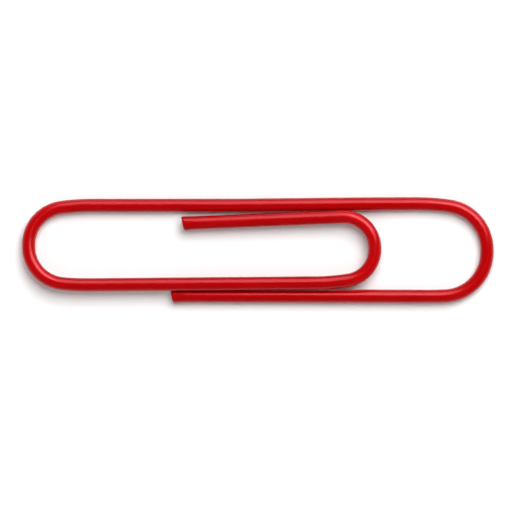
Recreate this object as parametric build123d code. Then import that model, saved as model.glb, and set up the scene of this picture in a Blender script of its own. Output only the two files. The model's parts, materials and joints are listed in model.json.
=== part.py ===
from build123d import *

import os
from math import cos, radians, sin, tan

# Paper clip of one vinyl-coated steel wire with three bends, in millimetres.
# +X runs along the clip towards the large bend, +Y across it towards the long leg
# between the left bend and the large bend, +Z up. The outer loop lies on Z = 0 and
# the origin is under the middle of the clip.
#
# Along the wire: free end of the inner leg, inner bend, middle leg, left bend, long
# leg, large bend, outer leg, free end. The wire and its coating are divided at the
# apex of each bend, where the wire crosses the clip and twists as the clip opens.

# Size over the coating, and the section of the clip
LENGTH = 50.0
WIRE_D = 1.15
COATING_T = 0.15
CLIP_D = WIRE_D + 2 * COATING_T

# Radii of the wire's centre line
INNER_BEND_R = 3.3
LEFT_BEND_R = 3.96
LARGE_BEND_R = 4.63
LEAD_IN_R = 25.0  # the gentle curve where a leg runs into a bend
BOW_R = 60.0  # the slight outward bow of the long leg

# Heights of the wire's centre line
OUTER_Z = CLIP_D / 2  # the outer loop lies on the table
MIDDLE_Z = OUTER_Z + 0.85  # the middle leg rides over the outer leg
INNER_BEND_Z = OUTER_Z + 0.76
INNER_TIP_Z = OUTER_Z + 0.40

# The two free ends
SHEAR_DEG = 12.0  # how far each cut leans from square, seen from above
TRIM = 0.6  # wire past the cut, which the shear takes off

# Corners of the centre line before they are rounded. Two corners at one X make a bend.
BEND_X = (LENGTH - CLIP_D) / 2
INNER_BEND_X = 12.36

inner_tip = Vector(-8.0, 2.82, INNER_TIP_Z)
inner_bend_top = Vector(INNER_BEND_X, 3.66, INNER_BEND_Z)
inner_bend_bottom = Vector(INNER_BEND_X, -2.77, MIDDLE_Z)
middle_right = Vector(7.7, -3.465, MIDDLE_Z)
middle_left = Vector(-19.2, -3.695, MIDDLE_Z)
left_bend_bottom = Vector(-BEND_X, -3.19, MIDDLE_Z)
left_bend_top = Vector(-BEND_X, 4.07, OUTER_Z)
spine_left = Vector(-19.2, 4.725, OUTER_Z)
spine_bow_start = Vector(-2.0, 4.74, OUTER_Z)
spine_bow_end = Vector(10.5, 4.875, OUTER_Z)
spine_right = Vector(18.5, 4.91, OUTER_Z)
large_bend_top = Vector(BEND_X, 4.1, OUTER_Z)
large_bend_bottom = Vector(BEND_X, -4.7, OUTER_Z)
outer_right = Vector(18.7, -4.905, OUTER_Z)
outer_tip = Vector(-9.17, -4.835, OUTER_Z)


def rounding(before, corner, after, radius):
    """Length of wire, before and after a corner, that rounding it takes up."""
    turn = (corner - before).get_angle(after - corner)
    return radius * tan(radians(turn / 2))


def apex(before, first, second, after, radius):
    """Middle of the short straight left between the two rounded corners of a bend."""
    across = second - first
    start = rounding(before, first, second, radius)
    end = across.length - rounding(first, second, after, radius)
    return first + across.normalized() * (start + end) / 2


def past(tip, inward):
    """A point beyond a free end, in line with the leg that runs inward from it."""
    return tip + (tip - inward).normalized() * TRIM


def shear_plane(tip):
    """The plane of a sheared end, facing out of the wire."""
    lean = radians(SHEAR_DEG)
    return Plane(origin=tip, z_dir=(-cos(lean), -sin(lean), 0))


def swept(corners, radii, section):
    """A section carried along straight runs joined by tangent arcs."""
    path = FilletPolyline(*corners, radius=radii)
    start = Plane(origin=path @ 0, z_dir=path % 0)
    solid = sweep(start * section, path=path.wire())
    expected = section.area * path.length
    print(f"  length {path.length:.2f}, volume {solid.volume:.3f}, section x length {expected:.3f}")
    return solid


def save_length(name, corners, radii, tip=None):
    """One length of clip: its steel wire and the vinyl coating around it."""
    wire_section = Circle(WIRE_D / 2)
    coating_section = Circle(CLIP_D / 2) - wire_section
    print(name)
    for piece, section in (("wire", wire_section), ("coating", coating_section)):
        solid = swept(corners, radii, section)
        if tip:
            solid = split(solid, bisect_by=shear_plane(tip), keep=Keep.BOTTOM)
        export_step(solid, f"parts/{name}_{piece}.step")


inner_apex = apex(inner_tip, inner_bend_top, inner_bend_bottom, middle_right, INNER_BEND_R)
left_apex = apex(middle_left, left_bend_bottom, left_bend_top, spine_left, LEFT_BEND_R)
large_apex = apex(spine_right, large_bend_top, large_bend_bottom, outer_right, LARGE_BEND_R)

os.makedirs("parts", exist_ok=True)
save_length(
    "inner_leg",
    [past(inner_tip, inner_bend_top), inner_bend_top, inner_apex],
    [INNER_BEND_R],
    tip=inner_tip,
)
save_length(
    "middle_leg",
    [inner_apex, inner_bend_bottom, middle_right, middle_left, left_bend_bottom, left_apex],
    [INNER_BEND_R, LEAD_IN_R, LEAD_IN_R, LEFT_BEND_R],
)
save_length(
    "spine",
    [
        left_apex,
        left_bend_top,
        spine_left,
        spine_bow_start,
        spine_bow_end,
        spine_right,
        large_bend_top,
        large_apex,
    ],
    [LEFT_BEND_R, LEAD_IN_R, BOW_R, BOW_R, LEAD_IN_R, LARGE_BEND_R],
)
save_length(
    "outer_leg",
    [large_apex, large_bend_bottom, outer_right, past(outer_tip, outer_right)],
    [LARGE_BEND_R, LEAD_IN_R],
    tip=outer_tip,
)

for name, point, first, second in (
    ("inner bend", inner_apex, inner_bend_bottom, inner_bend_top),
    ("left bend", left_apex, left_bend_top, left_bend_bottom),
    ("large bend", large_apex, large_bend_bottom, large_bend_top),
):
    print(name, "hinge at", tuple(point), "along", tuple((second - first).normalized()))
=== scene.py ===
import json
import math

import bpy
import numpy as np
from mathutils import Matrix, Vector


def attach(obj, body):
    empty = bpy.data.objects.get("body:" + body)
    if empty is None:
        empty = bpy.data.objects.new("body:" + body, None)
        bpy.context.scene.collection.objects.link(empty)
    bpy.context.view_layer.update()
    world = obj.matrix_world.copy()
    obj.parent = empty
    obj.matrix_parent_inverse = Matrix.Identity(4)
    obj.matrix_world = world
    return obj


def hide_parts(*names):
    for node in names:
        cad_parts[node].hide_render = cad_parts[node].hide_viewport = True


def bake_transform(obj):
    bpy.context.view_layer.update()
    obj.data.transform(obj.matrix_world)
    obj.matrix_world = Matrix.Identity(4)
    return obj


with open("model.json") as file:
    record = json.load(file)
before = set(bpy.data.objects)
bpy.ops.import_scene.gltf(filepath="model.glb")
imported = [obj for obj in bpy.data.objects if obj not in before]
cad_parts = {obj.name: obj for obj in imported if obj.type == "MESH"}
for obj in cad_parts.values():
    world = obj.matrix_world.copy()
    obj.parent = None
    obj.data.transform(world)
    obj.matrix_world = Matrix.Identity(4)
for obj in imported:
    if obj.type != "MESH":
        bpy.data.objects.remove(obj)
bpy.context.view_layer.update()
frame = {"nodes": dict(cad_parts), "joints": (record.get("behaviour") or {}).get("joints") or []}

# Colours, linear
VINYL = (0.370, 0.0007, 0.0014, 1)
VINYL_DEEP = (0.348, 0.0005, 0.0011, 1)
VINYL_WARM = (0.380, 0.0012, 0.0014, 1)
VINYL_STRAINED = (0.48, 0.0018, 0.003, 1)
# darker red where wire lies on wire: rub wear, and painted shade between the touching wires
VINYL_WORN_SHADED = (0.24, 0.0020, 0.0030, 1)
VINYL_SCUFFED = (0.40, 0.025, 0.025, 1)
VINYL_SPECK = (0.16, 0.004, 0.006, 1)
VINYL_GLEAM = (1.0, 0.29, 0.34, 1)  # the tint of its reflections
STEEL = (0.62, 0.61, 0.59, 1)
STEEL_DARK = (0.38, 0.37, 0.36, 1)
STEEL_RUSTY = (0.23, 0.12, 0.07, 1)
TABLE_LIGHT = (0.86, 0.86, 0.86, 1)
TABLE_SHADE = (0.83, 0.83, 0.83, 1)

# How the surfaces reflect, besides their colours
VINYL_IOR = 1.5
TABLE_SHEEN = 0.2

# Surface relief, table and camera, in metres
PEEL_HEIGHT = 1.0e-6
STEEL_GRAIN = 4e-6
TABLE_R = 1.2
TABLE_Z = -5e-6  # just under the clip, so that the two never share a surface
TABLE_SIDES = 96
CAMERA_X = -0.20e-3
CAMERA_Y = -0.623e-3
CAMERA_Z = 0.6
FRAME_WIDTH = 54.32e-3  # what the camera sees across, at the height of the table
VIEW_NEAR = 0.01
VIEW_FAR = 5.0
SENSOR_WIDTH = 36.0  # millimetres, as is the lens

# The glow of the room, and the power an area light needs for its radiance
ROOM_HORIZON = 0.45
ROOM_ZENITH = 0.03
ROOM_DARK_ABOVE = 0.7  # sine of the elevation above which the room is dark
WATTS_PER_AREA = 4  # for each square metre, at a radiance of 1

# The clip lies on Z = 0 with +X towards the large bend. Lengths are in millimetres up
# to the point where vertices are made, and MM turns them into metres.
MM = 0.001

# Section of the clip
WIRE_R = 0.575
CLIP_R = 0.725
BORE_R = 0.58  # inside of the coating, a hair wider than the wire it grips

# Heights of the wire's centre line
OUTER_Z = CLIP_R
MIDDLE_Z = OUTER_Z + 0.85
INNER_BEND_Z = OUTER_Z + 0.76
INNER_TIP_Z = OUTER_Z + 0.40

# Corners of the centre line, from the inner leg's free end to the outer leg's, each
# with the radius that rounds it
BEND_X = 24.275
INNER_BEND_X = 12.36
LEAD_IN_R = 25.0
BOW_R = 60.0
INNER_TIP = (-8.0, 2.82, INNER_TIP_Z)
OUTER_TIP = (-9.17, -4.835, OUTER_Z)
CORNERS = [
    ((INNER_BEND_X, 3.66, INNER_BEND_Z), 3.3),
    ((INNER_BEND_X, -2.77, MIDDLE_Z), 3.3),
    ((7.7, -3.465, MIDDLE_Z), LEAD_IN_R),
    ((-19.2, -3.695, MIDDLE_Z), LEAD_IN_R),
    ((-BEND_X, -3.19, MIDDLE_Z), 3.96),
    ((-BEND_X, 4.07, OUTER_Z), 3.96),
    ((-19.2, 4.725, OUTER_Z), LEAD_IN_R),
    ((-2.0, 4.74, OUTER_Z), BOW_R),
    ((10.5, 4.875, OUTER_Z), BOW_R),
    ((18.5, 4.91, OUTER_Z), LEAD_IN_R),
    ((BEND_X, 4.10, OUTER_Z), 4.63),
    ((BEND_X, -4.70, OUTER_Z), 4.63),
    ((18.7, -4.905, OUTER_Z), LEAD_IN_R),
]

# Where one stretch of coating ends and the next begins, in millimetres of wire from
# the inner leg's free end: on the straight of the middle leg and of the long leg
MIDDLE_JOIN = 42.0
SPINE_JOIN = 80.0

# Mesh fineness
LINE_STEP = 0.1
RING_STEP = 0.12
BORE_STEP = 0.48
CORE_STEP = 0.24
SEGMENTS = 48
ANGLES = np.arange(SEGMENTS) * 2 * math.pi / SEGMENTS
SHARP_EDGE = math.radians(50)

# How sharply the wire bends near a station, averaged over CURVING_REACH either way, and
# how much that strains the coating
TIGHTEST_R = 3.3
CURVING_REACH = 0.9
CURVING_SAMPLES = 9
STRAIN_ALL_ROUND = 0.6
STRAIN_OUTSIDE = 0.4  # how much more there is on the outside of a bend

# Unevenness of the coating, in depth below its nominal radius
RIPPLE = 0.006
FINE_RIPPLE = 0.0025
BEND_THINNING = 0.009
PIN_DEPTH = 0.012
PIN_WIDE = 0.6  # radians round the wire

# The gaps at which the skin is fully rubbed and darkened with painted shade, and not at all,
# by a stretch of the clip that is more than the first of these lengths away along the wire
RUB_SHADE_APART = 6.0
RUB_SHADE_NEAR = 0.03
RUB_SHADE_FAR = 0.30

# The free ends
SHEAR_DEG = 12.0
SHEAR_REACH = 1.1  # how far along the wire the rings lean towards the cut
PINCH_REACH = 1.5  # how far the shear's jaws flattened the clip
PINCH_FULL = 0.35  # how far they did it fully
PINCH_WIDE = 0.045
PINCH_FLAT = 0.075
LIP_R = 0.14  # rounding of the coating's cut edge, across the wire
LIP_LONG = 0.24  # and along it
LIP_ANGLES = [math.radians(a) for a in (0, 18, 36, 54, 72, 90)]
RAGGED = 0.014  # unevenness of that cut
CORE_BACK = 0.012  # how far the steel stands back from the cut
ROLLED_EDGE = 0.05
ROLL_FROM = 0.72  # share of the radius where the edge starts to roll over
ROLL_LEAST = 0.35  # the roll on the far side, as a share of the blade's side
BLADE_SIDE = math.radians(90)  # the side the blade came from: the top
TORN_STEP = 0.018
TORN_FULL = 0.5  # share of the radius, below the middle, where the step is full
TORN_ROUGH = 0.022
TORN_GRAIN = 7
FACE_SHARES = (0.06, 0.2, 0.34, 0.48, 0.6, 0.7, 0.78, 0.85, 0.91, 0.96, 1.0)

# What both cuts are square to
SHEAR_LEAN = math.radians(SHEAR_DEG)
CUT = np.array((math.cos(SHEAR_LEAN), math.sin(SHEAR_LEAN), 0))


# ---------------------------------------------------------------- centre line


def unit(vector):
    """vector brought to a length of 1."""
    return vector / np.linalg.norm(vector)


def straight(start, end):
    """Length of a straight run, and a function that gives the place, the direction and the
    curvature, which is 0, at a distance along it."""
    along = unit(end - start)
    return np.linalg.norm(end - start), lambda s: (start + s * along, along, 0.0)


def arc(centre, start, end):
    """The same for an arc about centre, with a curvature of 1 over its radius."""
    radius = np.linalg.norm(start - centre)
    first = (start - centre) / radius
    last = (end - centre) / radius
    turn = math.acos(np.dot(first, last))
    across = unit(last - first * math.cos(turn))

    def at(s):
        angle = s / radius
        place = centre + radius * (math.cos(angle) * first + math.sin(angle) * across)
        direction = math.cos(angle) * across - math.sin(angle) * first
        return place, direction, 1 / radius

    return radius * turn, at


def rounded_route(start, corners, end):
    """The runs and arcs from start to end, with every corner rounded."""
    places = [np.array(p) for p in (start, *(c for c, _ in corners), end)]
    runs = []
    here = places[0]
    for before, corner, after, (_, radius) in zip(places, places[1:], places[2:], corners):
        back = unit(before - corner)
        on = unit(after - corner)
        half = math.acos(np.dot(back, on)) / 2
        reach = radius / math.tan(half)
        centre = corner + unit(back + on) * radius / math.sin(half)
        runs.append(straight(here, corner + back * reach))
        runs.append(arc(centre, corner + back * reach, corner + on * reach))
        here = corner + on * reach
    runs.append(straight(here, places[-1]))
    return runs


ROUTE = rounded_route(INNER_TIP, CORNERS, OUTER_TIP)
ROUTE_LENGTH = sum(length for length, _ in ROUTE)


def at_station(s):
    """Place, direction and curvature of the wire s millimetres from the inner tip."""
    left = s
    for length, run in ROUTE[:-1]:
        if left <= length:
            return run(left)
        left -= length
    return ROUTE[-1][1](left)


def stations(first, last, step):
    """Evenly spaced stations from first to last, no further apart than step."""
    return np.linspace(first, last, math.ceil((last - first) / step) + 1)


LINE_STATIONS = stations(0, ROUTE_LENGTH, LINE_STEP)
LINE = np.array([at_station(s)[0] for s in LINE_STATIONS])


def station_of(place):
    """The station of a place on the centre line."""
    near = LINE_STATIONS[np.argmin(np.linalg.norm(LINE - place, axis=1))]
    here, along, _ = at_station(near)
    return near + np.dot(place - here, along)


# Where the CAD's hinges are, in millimetres
HINGES = {joint["name"]: np.array(joint["pos_m"]) / MM for joint in frame["joints"]}


def smooth(low, high, value):
    """0 up to low, 1 from high on, and an even S-shaped rise between them."""
    t = np.clip((value - low) / (high - low), 0, 1)
    return t * t * (3 - 2 * t)


# ------------------------------------------------- the shape of the clip's skin


def waves(seed, count, lengths, turns):
    """A sum of gentle waves over the wire's length and round it, about 0 to 1."""
    random = np.random.default_rng(seed)
    pitch = random.uniform(*lengths, count)
    phase = random.uniform(0, 2 * math.pi, count)
    round_it = random.integers(-turns, turns + 1, count)

    def at(s, angle):
        total = sum(
            np.sin(2 * math.pi * s / pitch[k] + round_it[k] * angle + phase[k])
            for k in range(count)
        )
        return np.clip(0.5 + 0.5 * total / math.sqrt(2 * count), 0, 1)

    return at


slow_ripple = waves(seed=4, count=9, lengths=(6.0, 22.0), turns=1)
fine_ripple = waves(seed=11, count=14, lengths=(1.1, 4.0), turns=3)
ragged = waves(seed=23, count=12, lengths=(0.5, 3.0), turns=9)

# Faint dents left by the forming pins: station, angle round the wire (0 is the inside
# of the bends, a quarter turn is the top) and half length along the wire
PIN_MARKS = [
    (24.4, 0.15, 1.2),
    (56.8, 0.10, 1.0),
    (70.3, 2.55, 0.9),
    (109.5, 0.20, 1.3),
    (126.0, 2.70, 1.0),
]


def near_tip(s):
    """Distance along the wire from the nearer free end."""
    return min(s, ROUTE_LENGTH - s)


def curving(s):
    """How sharply the wire bends near a station: 0 is straight, 1 the tightest bend."""
    reach = np.linspace(-CURVING_REACH, CURVING_REACH, CURVING_SAMPLES)
    around = np.clip(s + reach, 0, ROUTE_LENGTH)
    return TIGHTEST_R * np.mean([at_station(t)[2] for t in around])


def skin_radius(s):
    """Radii of the coating round the wire, never more than the clip's nominal radius."""
    radius = CLIP_R - RIPPLE * slow_ripple(s, ANGLES) - FINE_RIPPLE * fine_ripple(s, ANGLES)
    radius -= BEND_THINNING * curving(s) * np.cos(ANGLES) ** 2
    for station, side, reach in PIN_MARKS:
        along = (s - station) / reach
        round_it = (np.mod(ANGLES - side + math.pi, 2 * math.pi) - math.pi) / PIN_WIDE
        radius -= PIN_DEPTH * np.exp(-(along**2) - round_it**2)
    return radius


def ring(s, radius, push):
    """One ring of points round the wire at station s. Near a free end it is pinched by the
    shear's jaws and leans to the cut. push moves its points along the wire."""
    place, along, _ = at_station(s)
    side = unit(np.cross(along, (0, 0, 1)))
    up = np.cross(side, along)
    pinch = 1 - smooth(PINCH_FULL, PINCH_REACH, near_tip(s))
    wide = np.cos(ANGLES) * radius * (1 + PINCH_WIDE * pinch)
    high = np.sin(ANGLES) * radius * (1 - PINCH_FLAT * pinch)
    offset = wide[:, None] * side + high[:, None] * up
    lean = 1 - smooth(0, SHEAR_REACH, near_tip(s))
    slide = push - (offset @ CUT) / np.dot(along, CUT) * lean
    return place + offset + slide[:, None] * along


def rubbing_and_shade(points, s):
    """How nearly each point touches another stretch of the clip, for rub wear and for painted
    shade between the wires: 0 is well clear, 1 touches.
    """
    others = LINE[abs(LINE_STATIONS - s) > RUB_SHADE_APART]
    gap = np.linalg.norm(points[:, None] - others, axis=2).min(axis=1) - CLIP_R
    return 1 - smooth(RUB_SHADE_NEAR, RUB_SHADE_FAR, gap)


# -------------------------------------------------------------------- meshes


class Skin:
    """Rings of points, each joined to the next, with what the materials read at each point:
    wire_place is the point on the wire laid straight, strain how much a bend stretched or
    squeezed it, and the rubbing reading how much another stretch of the clip rubs it and darkens
    it with painted shade."""

    def __init__(self):
        self.rings = []
        self.readings = {"wire_place": [], "strain": [], "rub_and_shade": []}

    def add(self, s, radius, push=0.0):
        radius = radius * np.ones(SEGMENTS)
        points = ring(s, radius, push)
        self.rings.append(points)
        along = s + push * np.ones(SEGMENTS)
        unrolled = (along, radius * np.cos(ANGLES), radius * np.sin(ANGLES))
        outside = np.clip(-np.cos(ANGLES), 0, 1)
        strain = curving(s) * (STRAIN_ALL_ROUND + STRAIN_OUTSIDE * outside)
        self.readings["wire_place"].append(np.stack(unrolled, axis=1))
        self.readings["strain"].append(strain)
        # how near another stretch of the clip lies: both rub wear and painted shade between the
        # wires follow this
        self.readings["rub_and_shade"].append(rubbing_and_shade(points, s))

    def mesh(self, name, closed):
        """The mesh. closed joins the last ring to the first, and otherwise both are capped."""
        count = len(self.rings)
        faces = []
        for i in range(count if closed else count - 1):
            here = i * SEGMENTS
            beyond = (i + 1) % count * SEGMENTS
            for k in range(SEGMENTS):
                n = (k + 1) % SEGMENTS
                faces.append((here + n, here + k, beyond + k, beyond + n))
        if not closed:
            last = (count - 1) * SEGMENTS
            faces.append(tuple(range(SEGMENTS)))
            faces.append(tuple(reversed(range(last, last + SEGMENTS))))
        made = bpy.data.meshes.new(name)
        made.from_pydata((np.concatenate(self.rings) * MM).tolist(), [], faces)
        made.polygons.foreach_set("use_smooth", [True] * len(faces))
        made.set_sharp_from_angle(angle=SHARP_EDGE)
        for label, values in self.readings.items():
            values = np.concatenate(values).astype(np.float32)
            vectors = values.ndim == 2
            kind = "FLOAT_VECTOR" if vectors else "FLOAT"
            field = "vector" if vectors else "value"
            attribute = made.attributes.new(label, kind, "POINT")
            attribute.data.foreach_set(field, values.ravel())
        piece = bpy.data.objects.new(name, made)
        bpy.context.scene.collection.objects.link(piece)
        return piece


def coating(name, first, last):
    """A stretch of vinyl tube: its outside, its end faces and its bore."""
    lip = []
    for a in LIP_ANGLES:
        lip.append((CLIP_R - LIP_R * (1 - math.sin(a)), LIP_LONG * (1 - math.cos(a))))
    outside = stations(first, last, RING_STEP)
    skin = Skin()
    if first == 0:
        outside = outside[outside > LIP_LONG]
        for radius, back in lip:
            skin.add(first, radius, back + RAGGED * ragged(first, ANGLES))
    if last == ROUTE_LENGTH:
        outside = outside[outside < last - LIP_LONG]
    for s in outside:
        skin.add(s, skin_radius(s))
    if last == ROUTE_LENGTH:
        for radius, back in reversed(lip):
            skin.add(last, radius, -back - RAGGED * ragged(last, ANGLES))
    for s in reversed(stations(first, last, BORE_STEP)):
        skin.add(s, BORE_R)
    return skin.mesh(name, closed=True)


def sheared_face(share):
    """How far the steel stands back from the cut, at a share of its radius: the blade rolled
    the edge it entered by, and the last part tore off rough and a little lower."""
    entered = np.clip(np.cos(ANGLES - BLADE_SIDE), 0, 1)
    by_side = ROLL_LEAST + (1 - ROLL_LEAST) * entered
    rolled = ROLLED_EDGE * smooth(ROLL_FROM, 1.0, share) * by_side
    torn = smooth(0.0, TORN_FULL, -share * np.cos(ANGLES - BLADE_SIDE))
    rough = TORN_ROUGH * ragged(TORN_GRAIN * share, ANGLES) * torn
    return CORE_BACK + rolled + TORN_STEP * torn + rough


def core(name, tip, hinge):
    """The steel wire from a free end to a hinge."""
    inward = 1 if tip < hinge else -1
    face = [(tip, WIRE_R * share, inward * sheared_face(share)) for share in FACE_SHARES]
    low, high = sorted((tip + inward * RING_STEP, hinge))
    body = [(s, WIRE_R, 0.0) for s in stations(low, high, CORE_STEP)]
    skin = Skin()
    for s, radius, push in face + body if inward > 0 else body + face[::-1]:
        skin.add(s, radius, push)
    return skin.mesh(name, closed=False)


# ----------------------------------------------------------------- materials


def feed(tree, socket, value):
    """Sets a socket, or links it to the socket that feeds it."""
    if isinstance(value, bpy.types.NodeSocket):
        tree.links.new(value, socket)
    else:
        socket.default_value = value


def put(tree, kind, inputs=None, **settings):
    """A new node, with its settings and with values or links for its inputs."""
    made = tree.nodes.new("ShaderNode" + kind)
    for name, value in settings.items():
        setattr(made, name, value)
    for key, value in (inputs or {}).items():
        feed(tree, made.inputs[key], value)
    return made


def noise(tree, place, scale, detail=2.0, roughness=0.5):
    """Noise from about 0 to 1, with scale features to each unit of place."""
    inputs = {"Vector": place, "Scale": scale, "Detail": detail, "Roughness": roughness}
    return put(tree, "TexNoise", inputs).outputs["Fac"]


def stretched(tree, place, scale):
    """place with each axis scaled, so that a pattern on it is drawn out or squeezed."""
    return put(tree, "Mapping", {"Vector": place, "Scale": scale}).outputs["Vector"]


def level(tree, value, low, high, to_low=0.0, to_high=1.0):
    """value carried from the range low to high into the range to_low to to_high."""
    inputs = {"Value": value, "From Min": low, "From Max": high}
    inputs.update({"To Min": to_low, "To Max": to_high})
    return put(tree, "MapRange", inputs).outputs["Result"]


def maths(tree, operation, a, b):
    """One operation on two values."""
    return put(tree, "Math", {0: a, 1: b}, operation=operation).outputs[0]


def mixed(tree, factor, a, b):
    """Colour a where factor is 0, and colour b where it is 1."""
    inputs = {"Factor": factor, "A": a, "B": b}
    made = put(tree, "Mix", data_type="RGBA")
    for socket in made.inputs:
        if socket.enabled and socket.name in inputs:
            feed(tree, socket, inputs[socket.name])
    return next(socket for socket in made.outputs if socket.enabled)


def reading(tree, name, output="Fac"):
    """What the mesh has stored at each point under a name."""
    return put(tree, "Attribute", attribute_name=name).outputs[output]


def new_material(name):
    """A material, its node tree and its shader."""
    material = bpy.data.materials.new(name)
    material.use_nodes = True
    return material, material.node_tree, material.node_tree.nodes["Principled BSDF"]


def red_vinyl():
    """Dip-coated vinyl: glossy, faintly mottled and rippled, drawn lengthwise, brighter where
    a bend strains it, scuffed by paper, and rubbed dull and darkened with painted shade where
    wire lies on wire."""
    material, tree, shader = new_material("red_vinyl")
    place = reading(tree, "wire_place", "Vector")
    strain = reading(tree, "strain")
    rub_and_shade = reading(tree, "rub_and_shade")

    cloud_place = stretched(tree, place, (0.12, 1.0, 1.0))
    drawn_place = stretched(tree, place, (0.05, 1.0, 1.0))
    hair_place = stretched(tree, place, (0.35, 1.0, 1.0))
    mottle = noise(tree, place, scale=0.5, detail=3.0)
    cloud = noise(tree, cloud_place, scale=0.7, detail=1.0)
    drawn = noise(tree, drawn_place, scale=5.0, detail=3.0)
    peel = noise(tree, place, scale=2.6, detail=2.0)
    grain = noise(tree, place, scale=26.0, detail=2.0, roughness=0.6)

    hair = noise(tree, hair_place, scale=9.0, detail=4.0, roughness=0.65)
    patch = level(tree, noise(tree, place, scale=0.31, detail=2.0), 0.52, 0.68)
    scuff = maths(tree, "MULTIPLY", level(tree, hair, 0.56, 0.70), patch)
    # nearness of another stretch of the clip, grained: it sets both the rub wear and the painted
    # shade
    worn_and_shade = maths(tree, "MULTIPLY", rub_and_shade, level(tree, grain, 0.35, 0.65, 0.45, 1.0))

    cells = put(tree, "TexVoronoi", {"Vector": place, "Scale": 1.7})
    chosen = level(tree, cells.outputs["Color"], 0.60, 0.62)
    spot = level(tree, cells.outputs["Distance"], 0.05, 0.035)
    speck = maths(tree, "MULTIPLY", spot, chosen)

    colour = mixed(tree, level(tree, mottle, 0.3, 0.7), VINYL_DEEP, VINYL)
    colour = mixed(tree, level(tree, cloud, 0.35, 0.75, 0.0, 0.5), colour, VINYL_WARM)
    colour = mixed(tree, maths(tree, "MULTIPLY", strain, 0.75), colour, VINYL_STRAINED)
    # painted shade: the red is darkened where another stretch of the clip lies close, between
    # the wires
    colour = mixed(tree, maths(tree, "MULTIPLY", worn_and_shade, 0.5), colour, VINYL_WORN_SHADED)
    colour = mixed(tree, maths(tree, "MULTIPLY", scuff, 0.22), colour, VINYL_SCUFFED)
    colour = mixed(tree, maths(tree, "MULTIPLY", speck, 0.5), colour, VINYL_SPECK)
    feed(tree, shader.inputs["Base Color"], colour)

    roughness = level(tree, mottle, 0.3, 0.7, 0.13, 0.17)
    roughness = maths(tree, "ADD", roughness, level(tree, drawn, 0.35, 0.7, 0.0, 0.03))
    roughness = maths(tree, "ADD", roughness, maths(tree, "MULTIPLY", scuff, 0.16))
    # the real rub wear: rougher where wire lies on wire
    roughness = maths(tree, "ADD", roughness, maths(tree, "MULTIPLY", worn_and_shade, 0.20))
    feed(tree, shader.inputs["Roughness"], roughness)

    height = maths(tree, "ADD", peel, maths(tree, "MULTIPLY", drawn, 0.35))
    height = maths(tree, "ADD", height, maths(tree, "MULTIPLY", grain, 0.05))
    height = maths(tree, "SUBTRACT", height, maths(tree, "MULTIPLY", scuff, 0.12))
    height = maths(tree, "SUBTRACT", height, maths(tree, "MULTIPLY", speck, 0.6))
    bump = put(tree, "Bump", {"Height": height, "Strength": 1.0, "Distance": PEEL_HEIGHT})
    feed(tree, shader.inputs["Normal"], bump.outputs["Normal"])
    shader.inputs["IOR"].default_value = VINYL_IOR
    shader.inputs["Specular Tint"].default_value = VINYL_GLEAM
    return material


def wire_steel():
    """Drawn low-carbon steel: fine lengthwise lines, dull patches and specks of rust."""
    material, tree, shader = new_material("wire_steel")
    place = put(tree, "TexCoord").outputs["Object"]
    place = stretched(tree, place, (1 / MM, 1 / MM, 1 / MM))
    lines_place = stretched(tree, place, (0.25, 1.0, 1.0))
    lines = noise(tree, lines_place, scale=14.0, detail=4.0, roughness=0.6)
    patches = noise(tree, place, scale=2.2, detail=4.0, roughness=0.6)
    pits = noise(tree, place, scale=21.0, detail=3.0)

    colour = mixed(tree, level(tree, lines, 0.35, 0.65), STEEL_DARK, STEEL)
    colour = mixed(tree, level(tree, patches, 0.58, 0.72, 0.0, 0.55), colour, STEEL_RUSTY)
    feed(tree, shader.inputs["Base Color"], colour)
    roughness = level(tree, patches, 0.3, 0.7, 0.24, 0.48)
    roughness = maths(tree, "ADD", roughness, level(tree, pits, 0.4, 0.7, 0.0, 0.12))
    feed(tree, shader.inputs["Roughness"], roughness)
    height = maths(tree, "ADD", lines, maths(tree, "MULTIPLY", pits, 0.6))
    bump = put(tree, "Bump", {"Height": height, "Strength": 1.0, "Distance": STEEL_GRAIN})
    feed(tree, shader.inputs["Normal"], bump.outputs["Normal"])
    shader.inputs["Metallic"].default_value = 1.0
    return material


def matt_white():
    """The table: matt white board, faintly mottled, with a fine tooth in its roughness."""
    material, tree, shader = new_material("matt_white")
    place = put(tree, "TexCoord").outputs["Object"]
    tone = noise(tree, place, scale=14.0, detail=3.0)
    tooth = noise(tree, place, scale=1800.0, detail=2.0)
    colour = mixed(tree, level(tree, tone, 0.3, 0.7), TABLE_SHADE, TABLE_LIGHT)
    feed(tree, shader.inputs["Base Color"], colour)
    feed(tree, shader.inputs["Roughness"], level(tree, tooth, 0.3, 0.7, 0.75, 0.9))
    shader.inputs["Specular IOR Level"].default_value = TABLE_SHEEN
    return material


# ----------------------------------------------------------------- the object


TONGUE_HINGE = station_of(HINGES["inner_leg_flex"])
LARGE_HINGE = station_of(HINGES["outer_loop_flex"])

vinyl = red_vinyl()
steel = wire_steel()


def across(joint, side, reach):
    """Two points, reach before a hinge and reach after it. The wire comes to the hinge
    from +Y if side is 1 and from -Y if it is -1."""
    step = Vector((0, reach * MM * side, 0))
    place = Vector(HINGES[joint] * MM)
    return place + step, place - step


def dress(piece, material):
    """Gives a piece its only material."""
    piece.data.materials.clear()
    piece.data.materials.append(material)


tongue_coating = coating("tongue_coating", 0, MIDDLE_JOIN)
left_bend_coating = coating("left_bend_coating", MIDDLE_JOIN, SPINE_JOIN)
large_bend_coating = coating("large_bend_coating", SPINE_JOIN, ROUTE_LENGTH)
for piece in (tongue_coating, left_bend_coating, large_bend_coating):
    dress(piece, vinyl)

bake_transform(tongue_coating)
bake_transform(left_bend_coating)
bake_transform(large_bend_coating)
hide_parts("inner_leg_coating")
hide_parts("middle_leg_coating")
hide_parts("spine_coating", "outer_leg_coating")

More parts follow.
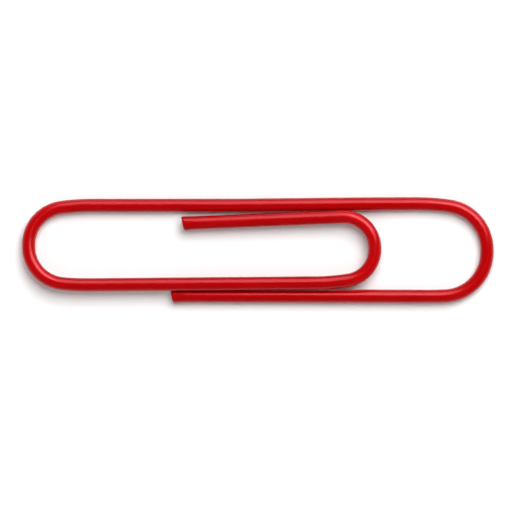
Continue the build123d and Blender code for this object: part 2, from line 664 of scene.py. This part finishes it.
inner_core = core("inner_leg_core", 0, TONGUE_HINGE)
outer_core = core("outer_leg_core", ROUTE_LENGTH, LARGE_HINGE)
for piece, body in ((inner_core, "inner_leg"), (outer_core, "outer_leg")):
    dress(piece, steel)
    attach(piece, body)
    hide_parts(body + "_wire")
for node in ("spine_wire", "middle_leg_wire"):
    wire = frame["nodes"][node]
    wire.data.materials.clear()
    wire.data.materials.append(steel)


# ---------------------------------------------------------- table, light, camera


def table():
    """A round white table top that the clip lies on."""
    turns = [2 * math.pi * k / TABLE_SIDES for k in range(TABLE_SIDES)]
    rim = [(TABLE_R * math.cos(a), TABLE_R * math.sin(a), TABLE_Z) for a in turns]
    made = bpy.data.meshes.new("table")
    made.from_pydata(rim, [], [tuple(range(TABLE_SIDES))])
    made.materials.append(matt_white())
    top = bpy.data.objects.new("table", made)
    bpy.context.scene.collection.objects.link(top)


def softbox(name, azimuth, elevation, distance, width, height, radiance, highlight):
    """A soft rectangular light aimed at the clip. Azimuth 0 is +X and 90 is +Y, in degrees.
    It either makes the highlights or lights the surfaces, like a pair of polarised lamps."""
    a = math.radians(azimuth)
    e = math.radians(elevation)
    away = Vector((math.cos(a) * math.cos(e), math.sin(a) * math.cos(e), math.sin(e)))
    data = bpy.data.lights.new(name, "AREA")
    data.shape = "RECTANGLE"
    data.size = width
    data.size_y = height
    data.energy = WATTS_PER_AREA * width * height * radiance
    lamp = bpy.data.objects.new(name, data)
    lamp.location = away * distance
    lamp.rotation_mode = "QUATERNION"
    lamp.rotation_quaternion = away.to_track_quat("Z", "Y")
    lamp.visible_camera = False
    lamp.visible_glossy = highlight
    lamp.visible_diffuse = not highlight
    bpy.context.scene.collection.objects.link(lamp)


def room():
    """Dim overhead and brighter towards the horizon, as in a white room, and plain white
    where the camera sees past the table."""
    world = bpy.data.worlds.new("room")
    world.use_nodes = True
    bpy.context.scene.world = world
    tree = world.node_tree
    direction = put(tree, "TexCoord").outputs["Generated"]
    height = put(tree, "SeparateXYZ", {"Vector": direction}).outputs["Z"]
    glow = level(tree, height, 0.0, ROOM_DARK_ABOVE, ROOM_HORIZON, ROOM_ZENITH)
    seen = put(tree, "LightPath").outputs["Is Camera Ray"]
    background = tree.nodes["Background"]
    background.inputs["Color"].default_value = (1, 1, 1, 1)
    feed(tree, background.inputs["Strength"], maths(tree, "MAXIMUM", glow, seen))


def camera():
    """Straight above the clip, far enough away to see it almost without perspective."""
    data = bpy.data.cameras.new("camera")
    data.sensor_width = SENSOR_WIDTH
    data.lens = data.sensor_width * CAMERA_Z / FRAME_WIDTH
    data.clip_start = VIEW_NEAR
    data.clip_end = VIEW_FAR
    seen_from = bpy.data.objects.new("camera", data)
    seen_from.location = (CAMERA_X, CAMERA_Y, CAMERA_Z)
    bpy.context.scene.collection.objects.link(seen_from)
    bpy.context.scene.camera = seen_from


table()
softbox("window", 64, 41, 0.45, width=0.60, height=0.34, radiance=3.9, highlight=True)
softbox("lamp", 57, 50, 0.44, width=0.26, height=0.34, radiance=4.6, highlight=True)
softbox("overhead", 66, 60, 0.6, width=0.48, height=0.48, radiance=5.4, highlight=False)
softbox("fill", 245, 45, 0.7, width=1.2, height=0.9, radiance=0.6, highlight=False)
room()
camera()
bpy.context.scene.view_settings.view_transform = "Standard"
